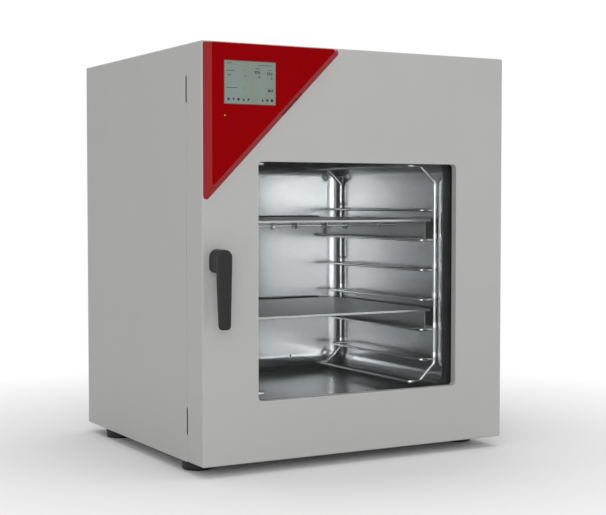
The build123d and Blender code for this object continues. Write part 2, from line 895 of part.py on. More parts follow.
def power_board(y_low):
    """Printed board with its larger components, on four standoffs."""
    z_mid = roof - power_board_drop
    x_mid = mid + power_board_offset
    half_width = power_board_width / 2
    half_height = power_board_height / 2
    face = y_low + power_standoff + board_thickness
    board = block(
        (x_mid - half_width, x_mid + half_width),
        (y_low + power_standoff, face),
        (z_mid - half_height, z_mid + half_height),
    )
    for x in (x_mid - half_width + power_standoff_inset, x_mid + half_width - power_standoff_inset):
        for z in (z_mid - half_height + power_standoff_inset, z_mid + half_height - power_standoff_inset):
            board += slab(Pos(x, z) * RegularPolygon(power_standoff_radius, 6), y_low, power_standoff)
    for sideways, upward, width, height, depth in power_blocks:
        board += slab(Pos(x_mid + sideways, z_mid + upward) * Rectangle(width, height), face, depth)
    return board


def terminal_block(y_low):
    """Row of screw terminals for the incoming mains."""
    z = inlet_z + terminal_rise
    outline = Pos(inlet_x, z) * Rectangle(terminal_count * terminal_pitch, terminal_height)
    terminals = slab(outline, y_low, terminal_depth)
    entry_front = y_low + terminal_depth - terminal_entry_depth
    for index in range(terminal_count):
        entry_x = inlet_x + (index - (terminal_count - 1) / 2) * terminal_pitch
        entry = Pos(entry_x, z) * Rectangle(terminal_entry, terminal_entry)
        terminals -= slab(entry, entry_front, terminal_entry_depth + cut_past)
    return terminals


def electronics():
    """Power board, filter and terminal block on the service plate."""
    y_low = bay_front + service_sheet
    can = Pos(inlet_x, inlet_z + filter_rise) * RectangleRounded(filter_width, filter_height, filter_corner)
    return {
        "power_board": power_board(y_low),
        "mains_filter": slab(can, y_low, filter_depth),
        "terminal_block": terminal_block(y_low),
    }


def panel_outline(inset_side, inset_top, tip_radius, corner_radius):
    """Right-angled triangle with its square corner at the top left and rounded tips."""
    reach = panel_leg - inset_side - inset_top - inset_side * 2**0.5
    x_low = panel_left + inset_side
    z_high = panel_top - inset_top
    points = ((x_low, z_high), (x_low, z_high - reach), (x_low + reach, z_high))
    outline = make_face(Polyline(*points, close=True))
    corner = outline.vertices().sort_by(lambda v: v.X - v.Y)[0]
    tips = [v for v in outline.vertices() if v != corner]
    outline = fillet(tips, tip_radius)
    corner = outline.vertices().sort_by(lambda v: v.X - v.Y)[0]
    return fillet(corner, corner_radius)


def panel_solid():
    """Triangle with wide bevels on its left and slanting sides."""
    back = front_plane(door_front) * panel_outline(0, 0, panel_tip_radius, panel_corner_radius)
    face = front_plane(panel_face) * panel_outline(
        panel_bevel, panel_top_draft, panel_face_radius, panel_face_radius
    )
    return loft([back, face], ruled=True)


def key_axes():
    """Middle of the key slot on the slanting edge, and the plane that looks along the push."""
    # The slanting edge runs from the lower left to the upper right at 45 degrees.
    edge_x = panel_left + panel_leg / 2 + key_slot_offset
    edge_z = panel_top - panel_leg / 2 + key_slot_offset
    return Plane(
        origin=(edge_x, door_front, edge_z), x_dir=(1, 0, 1), z_dir=(1, 0, -1)
    )


def control_panel():
    """Moulded triangular cover with a window for the display and a key slot in its slanting edge."""
    cover = panel_solid()
    pocket = front_plane(panel_face + panel_wall) * panel_outline(
        panel_bevel + panel_wall, panel_wall, panel_face_radius, panel_face_radius
    )
    cover -= extrude(pocket, amount=-(panel_height - panel_wall))
    window = Pos(display_x + display_width / 2, display_z + display_height / 2) * Rectangle(
        display_width, display_height
    )
    cover -= slab(window, panel_face - cut_past, panel_height)
    cover -= rod_y(led_x, led_z, led_radius + running_gap, panel_face - cut_past, door_front)
    plane = key_axes()
    slot = plane * Pos(0, key_slot_height / 2, 0) * Box(
        key_slot_length, key_slot_height, 2 * (panel_bevel + panel_wall + cut_past)
    )
    return cover - slot


def power_key():
    """Narrow push key in the slot of the slanting edge."""
    plane = key_axes()
    height = key_slot_height - 2 * seat_gap
    key = plane * Pos(0, key_slot_height / 2, -key_recess - key_depth / 2) * Box(
        key_slot_length - 2 * key_end_gap, height, key_depth
    )
    return fillet(key.edges().filter_by(Axis.Y), key_round)


def display():
    """Touch display module that fills the panel's window."""
    gap = running_gap
    return block(
        (display_x + gap, display_x + display_width - gap),
        (panel_face, panel_face + display_thickness),
        (display_z + gap, display_z + display_height - gap),
    )


def door_skin():
    """Deep-drawn outer door sheet with rounded front edges and a lipped window return."""
    outer = block((left, right), (door_front, door_rear), (base, roof))
    outer = fillet(outer.edges().filter_by(Axis.Y), housing_radius)
    outer = fillet(outer.faces().sort_by(Axis.Y)[0].edges(), edge_radius)
    inner = block(
        (inner_left, inner_right),
        (door_front + outer_sheet, door_rear + cut_past),
        (base + outer_sheet, roof - outer_sheet),
    )
    inner = fillet(inner.edges().filter_by(Axis.Y), housing_radius - outer_sheet)
    skin = outer - inner
    tube = rounded(
        window_width + 2 * outer_sheet, window_height + 2 * outer_sheet, window_corner + outer_sheet
    )
    lip = rounded(
        window_width + 2 * window_lip, window_height + 2 * window_lip, window_corner + window_lip
    )
    skin += slab(tube, door_front + outer_sheet, window_return - outer_sheet)
    skin += slab(lip, pane_front - outer_sheet, outer_sheet)
    opening = rounded(window_width, window_height, window_corner)
    skin -= slab(opening, door_front - cut_past, window_return + 2 * cut_past)
    skin -= seam_slots(door_rear - frame_sheet, door_rear + cut_past, False)
    skin -= rod_y(lever_x, lever_z, bush_radius, door_front - cut_past, door_front + outer_sheet + cut_past)
    return skin - display_cutout(door_front - cut_past, door_front + outer_sheet + cut_past)


def display_cutout(y_low, y_high):
    """Opening in the door for the back of the display module."""
    return block(
        (display_x + board_margin, display_x + display_width - board_margin),
        (y_low, y_high),
        (display_z + board_margin, display_z + display_height - board_margin),
    )


def door_inner_panel():
    """Inner door sheet with a deep return round the glass recess."""
    x_mid, z_mid = mid, (base + roof) / 2
    plate = Pos(x_mid, z_mid) * RectangleRounded(
        inner_right - inner_left,
        cabinet_height - 2 * outer_sheet,
        housing_radius - outer_sheet,
    )
    hole = rounded(recess_width, recess_height, recess_corner)
    collar = rounded(
        recess_width + 2 * outer_sheet, recess_height + 2 * outer_sheet, recess_corner + outer_sheet
    )
    plate_front = door_rear - frame_sheet
    sheet = slab(plate - hole, plate_front, frame_sheet)
    sheet += slab(collar - hole, carrier_front, plate_front - carrier_front)
    sheet -= leaf_pockets(plate_front - cut_past, door_rear + cut_past)
    return sheet - rod_y(lever_x, lever_z, bush_radius, plate_front - cut_past, door_rear + cut_past)


def door_insulation():
    """Mineral wool between the two door sheets."""
    wool = block(
        (inner_left, inner_right),
        (door_front + outer_sheet, door_rear - frame_sheet),
        (base + outer_sheet, roof - outer_sheet),
    )
    wool = chamfer(wool.edges().filter_by(Axis.Y), housing_radius)
    hole = rounded(
        recess_width + 2 * outer_sheet, recess_height + 2 * outer_sheet, recess_corner + outer_sheet
    )
    wool -= slab(hole, door_front, door_depth)
    wool -= rod_y(lever_x, lever_z, bush_radius, door_front, door_rear)
    wool -= leaf_pockets(door_rear - frame_sheet - hinge_anchor_depth, door_rear)
    return wool - block(
        (display_x - board_margin, display_x + display_width + board_margin),
        (door_front, door_front + outer_sheet + board_standoff + board_thickness + board_margin),
        (display_z - board_margin, display_z + display_height + board_margin),
    )


def controller_board():
    """Printed board behind the display, on four standoffs from the door sheet."""
    y_low = door_front + outer_sheet + board_standoff
    x_limits = (display_x - board_margin, display_x + display_width + board_margin)
    z_limits = (display_z - board_margin, display_z + display_height + board_margin)
    board = block(x_limits, (y_low, y_low + board_thickness), z_limits)
    inset = board_margin / 2
    for x in (x_limits[0] + inset, x_limits[1] - inset):
        for z in (z_limits[0] + inset, z_limits[1] - inset):
            standoff = Pos(x, z) * RegularPolygon(board_standoff_radius, 6)
            board += slab(standoff, y_low - board_standoff, board_standoff)
    x_mid = (x_limits[0] + x_limits[1]) / 2
    z_mid = (z_limits[0] + z_limits[1]) / 2
    connector_front = panel_face + display_thickness
    connector = Pos(x_mid, z_mid) * Rectangle(connector_width, connector_height)
    return board + slab(connector, connector_front, y_low - connector_front)


def status_led():
    """Round indicator lens in the panel face, on its light guide."""
    return rod_y(led_x, led_z, led_radius, panel_face, door_front)


def glass_clip(centre, along_x, side):
    """Angle clip on the recess wall, which holds the rear face of the safety glass."""
    half = clip_width / 2
    edge = side * (recess_width if along_x else recess_height) / 2
    reach = sorted((edge, edge - side * (glass_edge_gap + clip_overlap)))
    foot = sorted((edge, edge - side * clip_sheet))
    spans = ((reach, glass_rear + clip_sheet), (foot, glass_rear + clip_foot))
    clip = None
    for (low, high), y_high in spans:
        across = (centre - half, centre + half)
        x = (mid + low, mid + high) if along_x else (mid + across[0], mid + across[1])
        z = across if along_x else (low, high)
        leaf = block(x, (glass_rear, y_high), (chamber_z + z[0], chamber_z + z[1]))
        clip = leaf if clip is None else clip + leaf
    return clip


def setting_block(centre, along_x, side):
    """Rubber block between the edge of the safety glass and the recess wall."""
    half = setting_block_length / 2
    edge = side * (recess_width if along_x else recess_height) / 2
    low, high = sorted((edge, edge - side * glass_edge_gap))
    x = (low, high) if along_x else (centre - half, centre + half)
    z = (centre - half, centre + half) if along_x else (low, high)
    return block(
        (mid + x[0], mid + x[1]), (glass_front, glass_rear), (chamber_z + z[0], chamber_z + z[1])
    )


def pane_parts():
    """Outer pane, black carrier frame, safety glass, its clips and its setting blocks."""
    pane = rounded(
        window_width + 2 * outer_pane_margin,
        window_height + 2 * outer_pane_margin,
        window_corner + outer_pane_margin,
    )
    carrier = rounded(recess_width, recess_height, recess_corner) - rounded(
        window_width + 2 * carrier_inset, window_height + 2 * carrier_inset, window_corner + carrier_inset
    )
    glass = slab(rounded(glass_width, glass_height, glass_corner), glass_front, safety_glass)
    clips = []
    blocks = []
    for along_x in (True, False):
        quarter = (glass_height if along_x else glass_width) / 4
        for side in (-1, 1):
            for centre in (-quarter, quarter):
                clips.append(glass_clip(centre, along_x, side))
                blocks.append(setting_block(centre, along_x, side))
    return {
        "outer_pane": slab(pane, pane_front, outer_pane),
        "pane_carrier": slab(carrier, carrier_front, carrier_sheet),
        "safety_glass": glass,
        "glass_clips": clips,
        "setting_blocks": blocks,
    }


def latch_bush():
    """Flanged bearing bush for the lever spindle, through both door sheets."""
    profile = (
        (spindle_radius + running_gap, -bush_flange),
        (bush_flange_radius, -bush_flange),
        (bush_flange_radius, 0),
        (bush_radius, 0),
        (bush_radius, door_depth),
        (spindle_radius + running_gap, door_depth),
    )
    return turned_y(lever_x, lever_z, door_front, profile)


def lever():
    """Moulded lever: a tapered grip bar that hangs from a rounded boss on the door."""
    half = lever_width / 2
    tip = lever_tip_width / 2
    bar_back = door_front - lever_reach + lever_thickness
    outline = make_face(
        Polyline((-half, 0), (-tip, -lever_tail), (tip, -lever_tail), (half, 0), close=True)
    )
    outline = fillet(outline.vertices().group_by(Axis.Y)[0], lever_tip_round)
    outline += Circle(half)
    bar = slab(Pos(lever_x, lever_z) * outline, door_front - lever_reach, lever_thickness)
    shoulder = Pos(0, -lever_boss_drop / 2) * Rectangle(lever_width, lever_boss_drop)
    boss_outline = Circle(half) + fillet(shoulder.vertices().group_by(Axis.Y)[0], lever_boss_corner)
    boss_back = door_front - bush_flange - seat_gap
    boss = slab(Pos(lever_x, lever_z) * boss_outline, bar_back, boss_back - bar_back)
    grip = bar + boss
    front_edges = grip.faces().sort_by(Axis.Y)[0].edges()
    grip = chamfer(front_edges, lever_edge)
    # The back of the bar slopes, so that the tip is thinner than the root.
    relief = make_face(
        Polyline(
            (bar_back, lever_z - lever_boss_drop - lever_relief_start),
            (bar_back + cut_past, lever_z - lever_boss_drop - lever_relief_start),
            (bar_back + cut_past, lever_z - lever_tail - cut_past),
            (bar_back - lever_thickness + lever_tip_thickness, lever_z - lever_tail - cut_past),
            close=True,
        )
    )
    side = Plane(origin=(lever_x - lever_width, 0, 0), x_dir=(0, 1, 0), z_dir=(1, 0, 0))
    return grip - extrude(side * relief, amount=2 * lever_width)


def latch_spindle():
    """Spindle through the door, from the lever's boss to the tongue."""
    return rod_y(
        lever_x, lever_z, spindle_radius, door_front - bush_flange - seat_gap, frame_rear + tongue_gap
    )


def latch_tongue():
    """Tongue at the end of the spindle, which turns behind the keeper plate."""
    half = tongue_width / 2
    outline = Circle(half) + Pos(0, tongue_reach / 2) * Rectangle(tongue_width, tongue_reach)
    outline = Pos(lever_x, lever_z) * outline
    outline &= disc(lever_x, lever_z, tongue_reach)
    return slab(outline, frame_rear + tongue_gap, tongue_thickness)


def all_parts():
    parts = {
        "housing_wrap": housing_wrap(),
        "base_pan": base_pan(),
        "front_frame": front_frame(),
        "chamber": chamber(),
        "door_gasket": door_gasket(),
        "insulation": insulation(),
        "temperature_sensor": temperature_sensor(),
        "service_plate": service_plate(),
        "rear_panel": rear_panel(),
        "rear_panel_screws": rear_panel_screws(),
        "vacuum_pipe": gas_pipe(mid + pipe_spread),
        "vent_pipe": gas_pipe(mid - pipe_spread),
        "mains_inlet": mains_inlet(),
        "hinge_anchors_cabinet": anchor_blocks(frame_rear, frame_rear + hinge_anchor_depth),
        "hinge_anchors_door": anchor_blocks(
            door_rear - frame_sheet - hinge_anchor_depth, door_rear - frame_sheet
        ),
        "slot_blanks_cabinet": slot_blanks(hinge_y + seat_gap, frame_front),
        "slot_blanks_door": slot_blanks(door_rear - frame_sheet, hinge_y - seat_gap),
        "latch_keeper": latch_keeper(),
        "door_skin": door_skin(),
        "door_inner_panel": door_inner_panel(),
        "door_insulation": door_insulation(),
        "control_panel": control_panel(),
        "power_key": power_key(),
        "display": display(),
        "controller_board": controller_board(),
        "status_led": status_led(),
        "latch_bush": latch_bush(),
        "lever": lever(),
        "latch_spindle": latch_spindle(),
        "latch_tongue": latch_tongue(),
    }
    for name, wires in (("rack_{}", rack_right()), ("rack_rungs_{}", rack_rungs_right())):
        parts[name.format("right")] = wires
        parts[name.format("left")] = [mirror(piece, about=Plane.YZ.offset(mid)) for piece in wires]
    for name, index in zip(("lower", "upper"), shelf_rungs):
        parts[f"{name}_shelf"] = shelf_plate(index)
        parts[f"{name}_shelf_channels"] = shelf_channels(index)
    parts["shelf_stops"] = [shelf_stop(index) for index in shelf_rungs]
    parts["clamp_rods"] = [clamp_rod(index) for index in shelf_rungs]
    parts["clamp_nuts"] = [nut for index in shelf_rungs for nut in clamp_nuts(index)]
    parts["clamp_lugs"] = [lug for index in shelf_rungs for lug in clamp_lugs(index)]
    parts["heater_mats"] = heater_mats()
    parts.update(hinge_parts())
    parts.update(feet())
    parts.update(electronics())
    parts.update(pane_parts())
    return parts


os.makedirs("parts", exist_ok=True)
for name, shape in all_parts().items():
    if isinstance(shape, list):
        shape = Compound(children=[solid for piece in shape for solid in piece.solids()])
    shape.label = name
    export_step(shape, f"parts/{name}.step")
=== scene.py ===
import bpy
import bmesh
import json
import math
from mathutils import Matrix, Vector

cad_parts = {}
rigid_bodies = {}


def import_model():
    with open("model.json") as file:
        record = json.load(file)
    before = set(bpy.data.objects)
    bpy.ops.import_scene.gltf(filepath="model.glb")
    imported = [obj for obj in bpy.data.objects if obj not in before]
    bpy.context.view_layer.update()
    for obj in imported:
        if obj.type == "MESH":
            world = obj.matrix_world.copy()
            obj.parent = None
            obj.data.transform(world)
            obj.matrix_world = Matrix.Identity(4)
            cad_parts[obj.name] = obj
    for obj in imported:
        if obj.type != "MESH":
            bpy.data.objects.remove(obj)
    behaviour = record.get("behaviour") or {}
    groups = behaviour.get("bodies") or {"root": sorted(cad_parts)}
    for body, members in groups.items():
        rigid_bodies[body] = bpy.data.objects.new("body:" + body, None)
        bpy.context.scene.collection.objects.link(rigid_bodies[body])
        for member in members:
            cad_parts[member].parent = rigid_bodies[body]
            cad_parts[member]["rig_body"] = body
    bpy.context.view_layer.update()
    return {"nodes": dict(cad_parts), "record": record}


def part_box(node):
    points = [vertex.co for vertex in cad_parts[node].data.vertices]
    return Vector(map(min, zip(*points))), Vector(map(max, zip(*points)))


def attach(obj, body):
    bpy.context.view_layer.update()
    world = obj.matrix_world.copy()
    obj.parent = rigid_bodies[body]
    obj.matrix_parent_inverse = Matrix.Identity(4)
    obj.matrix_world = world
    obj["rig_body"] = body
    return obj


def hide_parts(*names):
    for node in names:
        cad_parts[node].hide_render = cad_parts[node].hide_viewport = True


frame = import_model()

MM = 0.001  # metres in a millimetre
NODES = frame["nodes"]
SLOTS = {part["node"]: part["material_slot"] for part in frame["record"]["subparts"]}


# Materials


def srgb(red, green, blue):
    """Linear colour of an 8-bit display colour."""
    values = []
    for value in (red, green, blue):
        level = value / 255
        values.append(level / 12.92 if level <= 0.04045 else ((level + 0.055) / 1.055) ** 2.4)
    return (*values, 1.0)


def new_finish(name, colour, roughness, metallic=0.0, specular=0.5):
    """Material with a Principled shader, and its tree and shader."""
    material = bpy.data.materials.new(name)
    material.use_nodes = True
    tree = material.node_tree
    shader = tree.nodes["Principled BSDF"]
    shader.inputs["Base Color"].default_value = colour
    shader.inputs["Roughness"].default_value = roughness
    shader.inputs["Metallic"].default_value = metallic
    shader.inputs["Specular IOR Level"].default_value = specular
    return material, tree, shader


def noise(tree, scale, detail=3.0, stretch=(1, 1, 1)):
    """Noise in the row frame, scale in waves per metre before the stretch."""
    place = tree.nodes.new("ShaderNodeTexCoord")
    mapping = tree.nodes.new("ShaderNodeMapping")
    mapping.inputs["Scale"].default_value = stretch
    tree.links.new(place.outputs["Object"], mapping.inputs["Vector"])
    texture = tree.nodes.new("ShaderNodeTexNoise")
    texture.inputs["Scale"].default_value = scale
    texture.inputs["Detail"].default_value = detail
    tree.links.new(mapping.outputs["Vector"], texture.inputs["Vector"])
    return texture.outputs["Fac"]


def spread(tree, factor, low, high, start=0.3, end=0.7):
    """Factor between start and end, mapped to the range from low to high."""
    ramp = tree.nodes.new("ShaderNodeMapRange")
    ramp.inputs["From Min"].default_value = start
    ramp.inputs["From Max"].default_value = end
    ramp.inputs["To Min"].default_value = low
    ramp.inputs["To Max"].default_value = high
    tree.links.new(factor, ramp.inputs["Value"])
    return ramp.outputs["Result"]


def tint(tree, shader, factor, first, second):
    """Base colour that varies between two colours."""
    mix = tree.nodes.new("ShaderNodeMix")
    mix.data_type = "RGBA"
    mix.inputs[6].default_value = first
    mix.inputs[7].default_value = second
    tree.links.new(spread(tree, factor, 0.0, 1.0), mix.inputs[0])
    tree.links.new(mix.outputs[2], shader.inputs["Base Color"])


def relief(tree, shader, factor, depth, strength):
    """Bump from a height factor, depth in metres."""
    bump = tree.nodes.new("ShaderNodeBump")
    bump.inputs["Strength"].default_value = strength
    bump.inputs["Distance"].default_value = depth
    tree.links.new(factor, bump.inputs["Height"])
    tree.links.new(bump.outputs["Normal"], shader.inputs["Normal"])


def shade(colour, gain):
    """Colour made lighter or darker by a gain."""
    return (*(channel * gain for channel in colour[:3]), 1.0)


def grained(name, colour, roughness, grain, depth, strength, metallic=0.0, specular=0.5, swing=0.04):
    """Even finish with a fine grain in its relief and a slow change in its tone and gloss."""
    material, tree, shader = new_finish(name, colour, roughness, metallic, specular)
    slow = noise(tree, 9.0, 2.0)
    tint(tree, shader, slow, shade(colour, 1 - swing), shade(colour, 1 + swing))
    fine = noise(tree, grain, 2.0)
    tree.links.new(spread(tree, fine, roughness - 0.05, roughness + 0.05), shader.inputs["Roughness"])
    relief(tree, shader, fine, depth, strength)
    return material


def brushed(name, colour, roughness, stretch, grain, depth, strength, swing=0.05, spread_by=0.06):
    """Metal with a directional grain, which runs along the axis that stretch makes smallest."""
    material, tree, shader = new_finish(name, colour, roughness, 1.0)
    lines = noise(tree, grain, 4.0, stretch)
    cloud = noise(tree, 7.0, 3.0)
    tint(tree, shader, cloud, shade(colour, 1 - swing), shade(colour, 1 + swing))
    low, high = roughness - spread_by, roughness + spread_by
    tree.links.new(spread(tree, lines, low, high), shader.inputs["Roughness"])
    relief(tree, shader, lines, depth, strength)
    return material


def spangled(name, colour, roughness):
    """Zinc coat with faint crystals of a few millimetres."""
    material, tree, shader = new_finish(name, colour, roughness, 1.0)
    place = tree.nodes.new("ShaderNodeTexCoord")
    crystals = tree.nodes.new("ShaderNodeTexVoronoi")
    crystals.inputs["Scale"].default_value = 300.0
    tree.links.new(place.outputs["Object"], crystals.inputs["Vector"])
    grey = tree.nodes.new("ShaderNodeRGBToBW")
    tree.links.new(crystals.outputs["Color"], grey.inputs["Color"])
    tint(tree, shader, grey.outputs["Val"], shade(colour, 0.95), shade(colour, 1.04))
    gloss = spread(tree, grey.outputs["Val"], roughness - 0.04, roughness + 0.04)
    tree.links.new(gloss, shader.inputs["Roughness"])
    relief(tree, shader, noise(tree, 900.0), 0.00004, 0.3)
    return material


def clear_glass(name, colour, roughness):
    """Clear pane; a low index keeps the reflections of a plain room weak."""
    material, tree, shader = new_finish(name, colour, roughness, 0.0)
    shader.inputs["Transmission Weight"].default_value = 1.0
    shader.inputs["IOR"].default_value = 1.12
    slow = noise(tree, 3.0, 1.0)
    tint(tree, shader, slow, colour, shade(colour, 0.998))
    return material


def fibrous(name, colour):
    """Mineral wool."""
    material, tree, shader = new_finish(name, colour, 0.95, 0.0, 0.1)
    strands = noise(tree, 220.0, 6.0, (1.0, 0.35, 1.0))
    tint(tree, shader, strands, shade(colour, 0.7), shade(colour, 1.15))
    relief(tree, shader, strands, 0.0015, 0.8)
    return material


def board_finish(name, colour):
    """Solder mask over copper tracks."""
    material, tree, shader = new_finish(name, colour, 0.35)
    place = tree.nodes.new("ShaderNodeTexCoord")
    tracks = tree.nodes.new("ShaderNodeTexBrick")
    tracks.inputs["Scale"].default_value = 90.0
    tracks.inputs["Mortar Size"].default_value = 0.08
    tracks.inputs["Color1"].default_value = colour
    tracks.inputs["Color2"].default_value = shade(colour, 0.8)
    tracks.inputs["Mortar"].default_value = shade(colour, 1.5)
    tree.links.new(place.outputs["Object"], tracks.inputs["Vector"])
    tree.links.new(tracks.outputs["Color"], shader.inputs["Base Color"])
    relief(tree, shader, tracks.outputs["Fac"], 0.00005, 0.5)
    return material


def screen_finish(name):
    """Lit picture of the display: grey green, a little yellower to the left."""
    material, tree, shader = new_finish(name, srgb(130, 146, 136), 0.28, 0.0, 0.3)
    slow = noise(tree, 22.0, 1.0, (1.0, 1.0, 0.6))
    tint(tree, shader, slow, srgb(124, 131, 117), srgb(125, 141, 138))
    shader.inputs["Coat Weight"].default_value = 0.2
    return material


# Finishes

FINISH = {
    "painted_steel": grained("powder_coat", srgb(178, 178, 177), 0.5, 750.0, 0.00006, 0.18, swing=0.012),
    "zinc_steel": spangled("zinc_coat", (0.56, 0.57, 0.58, 1.0), 0.42),
    "stainless": brushed(
        "ground_stainless", (0.60, 0.60, 0.60, 1.0), 0.3, (1, 1, 14), 90.0, 0.00003, 0.25
    ),
    "tank_stainless": brushed(
        "satin_tank", (0.56, 0.565, 0.575, 1.0), 0.21, (1, 1, 9), 70.0, 0.00002, 0.06,
        swing=0.02, spread_by=0.03,
    ),
    "wire_chrome": brushed(
        "polished_wire", (0.74, 0.74, 0.75, 1.0), 0.2, (1, 1, 1), 500.0, 0.00002, 0.15
    ),
    "shelf_aluminium": brushed(
        "shelf_aluminium", (0.46, 0.465, 0.47, 1.0), 0.40, (1, 12, 1), 90.0, 0.00003, 0.2
    ),
    "black_rubber": grained(
        "black_rubber", (0.016, 0.016, 0.017, 1.0), 0.55, 600.0, 0.00008, 0.3, specular=0.35
    ),
    "clear_glass": clear_glass("float_glass", (0.994, 1.0, 0.997, 1.0), 0.0),
    "black_painted": grained(
        "black_paint", (0.012, 0.012, 0.012, 1.0), 0.5, 700.0, 0.00005, 0.2, specular=0.3
    ),
    "mineral_wool": fibrous("mineral_wool", (0.50, 0.44, 0.28, 1.0)),
    "heater_silicone": grained("heater_silicone", (0.42, 0.09, 0.03, 1.0), 0.6, 420.0, 0.0002, 0.4),
    "red_panel": grained(
        "red_moulding", srgb(143, 6, 11), 0.42, 900.0, 0.00003, 0.12, specular=0.0, swing=0.02
    ),
    # The key's red is darker than the panel's: painted shade, as the key fills the panel's notch, which
    # lies in shadow.
    "dark_red_key": grained("dark_red_key", srgb(96, 3, 8), 0.4, 900.0, 0.00003, 0.12, specular=0.2),
    "screen": screen_finish("screen_glass"),
    "green_lens": grained("green_lens", srgb(120, 160, 20), 0.25, 900.0, 0.00002, 0.1),
    "circuit_board": board_finish("solder_mask", (0.012, 0.09, 0.035, 1.0)),
    "black_plastic": grained("black_moulding", srgb(35, 35, 36), 0.5, 800.0, 0.00006, 0.3, specular=0.25),
    "bronze_bush": brushed(
        "bearing_bronze", (0.55, 0.33, 0.13, 1.0), 0.35, (1, 1, 1), 400.0, 0.00003, 0.2
    ),
}
# Bevel red: the panel's own red painted lighter, as painted light falling on the slanting bevels; the
# bevels are also glossier.
RED_BEVEL_PAINTED_LIGHTER = grained(
    "red_moulding_edge_painted_lighter", srgb(147, 14, 16), 0.35, 900.0, 0.00003, 0.12, specular=0.28, swing=0.02
)
INK = grained("screen_ink", srgb(38, 46, 44), 0.4, 900.0, 0.00001, 0.1, specular=0.2)
SCREEN_FRAME = grained("screen_frame", srgb(92, 86, 80), 0.4, 900.0, 0.00003, 0.15, specular=0.2)

for node, item in NODES.items():
    item.data.materials.clear()
    item.data.materials.append(FINISH[SLOTS[node]])


# Shape helpers


def place_piece(item, body, slot, materials, *nodes):
    """Materials, body and the CAD nodes that the piece stands for; slot is not used."""
    for material in materials:
        item.data.materials.append(material)
    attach(item, body)
    if nodes:
        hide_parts(*nodes)
    return item


def link_mesh(name, bm, smooth_angle=35.0):
    """Object from a bmesh, smooth but for edges sharper than the angle in degrees."""
    mesh = bpy.data.meshes.new(name)
    bmesh.ops.recalc_face_normals(bm, faces=bm.faces[:])
    bm.to_mesh(mesh)
    bm.free()
    mesh.shade_smooth()
    mesh.set_sharp_from_angle(angle=math.radians(smooth_angle))
    item = bpy.data.objects.new(name, mesh)
    bpy.context.scene.collection.objects.link(item)
    return item


def soften(item, width, segments=2, angle=30.0):
    """Small round on the edges, with flat faces kept flat in the shading."""
    bevel = item.modifiers.new("Bevel", "BEVEL")
    bevel.width = width * MM
    bevel.segments = segments
    bevel.limit_method = "ANGLE"
    bevel.angle_limit = math.radians(angle)
    normals = item.modifiers.new("Normals", "WEIGHTED_NORMAL")
    normals.keep_sharp = True
    return item


def solid_copy(node):
    """Joined and simplified copy of a CAD node's mesh, as a bmesh."""
    bm = bmesh.new()
    bm.from_mesh(NODES[node].data)
    bmesh.ops.remove_doubles(bm, verts=bm.verts[:], dist=1e-6)
    bmesh.ops.dissolve_limit(
        bm, angle_limit=math.radians(0.6), use_dissolve_boundaries=False,
        verts=bm.verts[:], edges=bm.edges[:],
    )
    return bm


def dressed_copy(node, width, segments=2, angle=30.0):
    """Copy of a CAD node with rounded edges, which stands for it."""
    item = link_mesh(f"{node}_dressed", solid_copy(node), 40.0)
    soften(item, width, segments, angle)
    slot = SLOTS[node]
    return place_piece(item, NODES[node]["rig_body"], slot, [FINISH[slot]], node)


def ring_mesh(name, centre, half_width, half_height, corner, profile, arc_steps=14):
    """Closed profile of (outward, depth) points swept round an upright rounded rectangle."""
    bm = bmesh.new()
    stations = []
    for quarter, (sx, sz) in enumerate(((1, 1), (-1, 1), (-1, -1), (1, -1))):
        pivot = (centre[0] + sx * (half_width - corner), centre[1] + sz * (half_height - corner))
        for step in range(arc_steps + 1):
            turn = math.radians(90 * quarter + 90 * step / arc_steps)
            stations.append((pivot, math.cos(turn), math.sin(turn)))
    rings = []
    for pivot, dx, dz in stations:
        ring = []
        for outward, depth in profile:
            reach = corner + outward
            ring.append(bm.verts.new((pivot[0] + dx * reach, depth, pivot[1] + dz * reach)))
        rings.append(ring)
    for first, second in zip(rings, rings[1:] + rings[:1]):
        for index in range(len(profile)):
            after = (index + 1) % len(profile)
            bm.faces.new((first[index], second[index], second[after], first[after]))
    return link_mesh(name, bm, 50.0)


def lathe(bm, origin, profile, steps=48):
    """Surface of revolution about the upright line through origin, from (radius, height) points."""
    rings = []
    for radius, height in profile:
        ring = []
        for step in range(steps):
            turn = 2 * math.pi * step / steps
            place = (radius * math.cos(turn), radius * math.sin(turn), height)
            ring.append(bm.verts.new(origin + Vector(place)))
        rings.append(ring)
    for lower, upper in zip(rings, rings[1:]):
        for step in range(steps):
            after = (step + 1) % steps
            bm.faces.new((lower[step], lower[after], upper[after], upper[step]))
    bm.faces.new(rings[0])
    bm.faces.new(rings[-1][::-1])


def arc(centre, radius, start, end, steps):
    """Points on an arc, angles in degrees."""
    points = []
    for step in range(steps + 1):
        turn = math.radians(start + (end - start) * step / steps)
        points.append((centre[0] + radius * math.cos(turn), centre[1] + radius * math.sin(turn)))
    return points


def add_wire(curve, points, bends):
    """Bezier spline through straight runs with a round bend at each inner point."""
    stops = [(points[0], None, None)]
    for index in range(1, len(points) - 1):
        corner, bend = points[index], bends[index - 1]
        back = (points[index - 1] - corner).normalized()
        ahead = (points[index + 1] - corner).normalized()
        turn = math.pi - back.angle(ahead)
        cut = bend * math.tan(turn / 2)
        pull = 4 / 3 * math.tan(turn / 4) * bend
        stops.append((corner + back * cut, None, -back * pull))
        stops.append((corner + ahead * cut, -ahead * pull, None))
    stops.append((points[-1], None, None))
    spline = curve.splines.new("BEZIER")
    spline.bezier_points.add(len(stops) - 1)
    for index, (place, left_pull, right_pull) in enumerate(stops):
        point = spline.bezier_points[index]
        point.handle_left_type = point.handle_right_type = "FREE"
        point.co = place
        point.handle_left = place + (left_pull or Vector())
        point.handle_right = place + (right_pull or Vector())
        if left_pull is None and index:
            point.handle_left = place.lerp(stops[index - 1][0], 1 / 3)
        if right_pull is None and index < len(stops) - 1:
            point.handle_right = place.lerp(stops[index + 1][0], 1 / 3)


